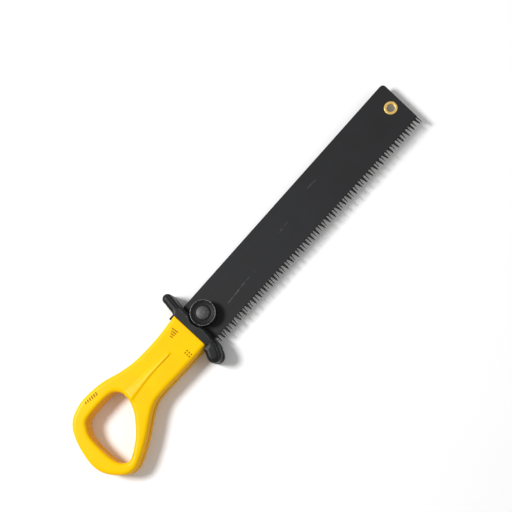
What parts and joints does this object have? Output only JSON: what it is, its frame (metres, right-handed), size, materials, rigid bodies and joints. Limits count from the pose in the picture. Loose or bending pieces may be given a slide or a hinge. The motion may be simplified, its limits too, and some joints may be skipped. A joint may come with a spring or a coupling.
{
  "type": "folding pruning saw",
  "caption": "Folding pruning saw with a toothed blade on a push-button pivot, a cross guard and a split handle with a closed finger loop.",
  "frame": {"origin": "middle of the bottom of the open saw's box: under the handle's back face, on the surface that the saw lies on", "axes": "+X along the open blade towards its tip, +Y towards the blade's back, +Z out of the front face with the lock button"},
  "size_m": [0.3802, 0.077, 0.02],
  "materials": {
    "blackened_steel": "satin black coating with bare ground tooth flanks",
    "brass": "polished",
    "yellow_plastic": "smooth gloss moulding",
    "black_plastic": "black moulding, semi-gloss",
    "black_metal": "turned, satin black",
    "steel": "bright zinc plated",
    "bronze": "sintered bronze"
  },
  "bodies": {
    "handle": {"handle_front_shell": "yellow_plastic", "handle_back_shell": "yellow_plastic", "front_liner": "steel", "back_liner": "steel", "guard_front": "black_plastic", "guard_back": "black_plastic", "guard_spacer": "steel", "guard_screw": "steel", "guard_front_screws": "steel", "guard_back_screws": "steel", "front_liner_screws": "steel", "back_liner_screws": "steel", "front_liner_inserts": "brass", "back_liner_inserts": "brass", "handle_screws": "steel", "handle_inserts": "brass", "pivot_barrel": "steel", "pivot_screw": "steel", "front_thrust_washer": "bronze", "back_thrust_washer": "bronze", "knob_housing": "black_metal", "knob_cap": "black_metal", "button_spring": "steel", "back_cap": "black_plastic"},
    "blade": {"blade": "blackened_steel", "tip_eyelet": "brass", "eyelet_washer": "brass"},
    "button": {"lock_button": "black_metal", "lock_pin": "steel"}
  },
  "joints": [
    {"name": "blade_fold", "type": "hinge", "parent": "handle", "child": "blade", "pos_m": [-0.04186, 0.00446, 0.01], "axis": [0, 0, -1], "range_deg": [0, 165]},
    {"name": "button_press", "type": "slide", "parent": "handle", "child": "button", "axis": [0, 0, -1], "range_m": [0, 0.002], "stiffness_N_per_m": 1500, "springref_m": -0.001, "deforming": ["button_spring"]}
  ]
}
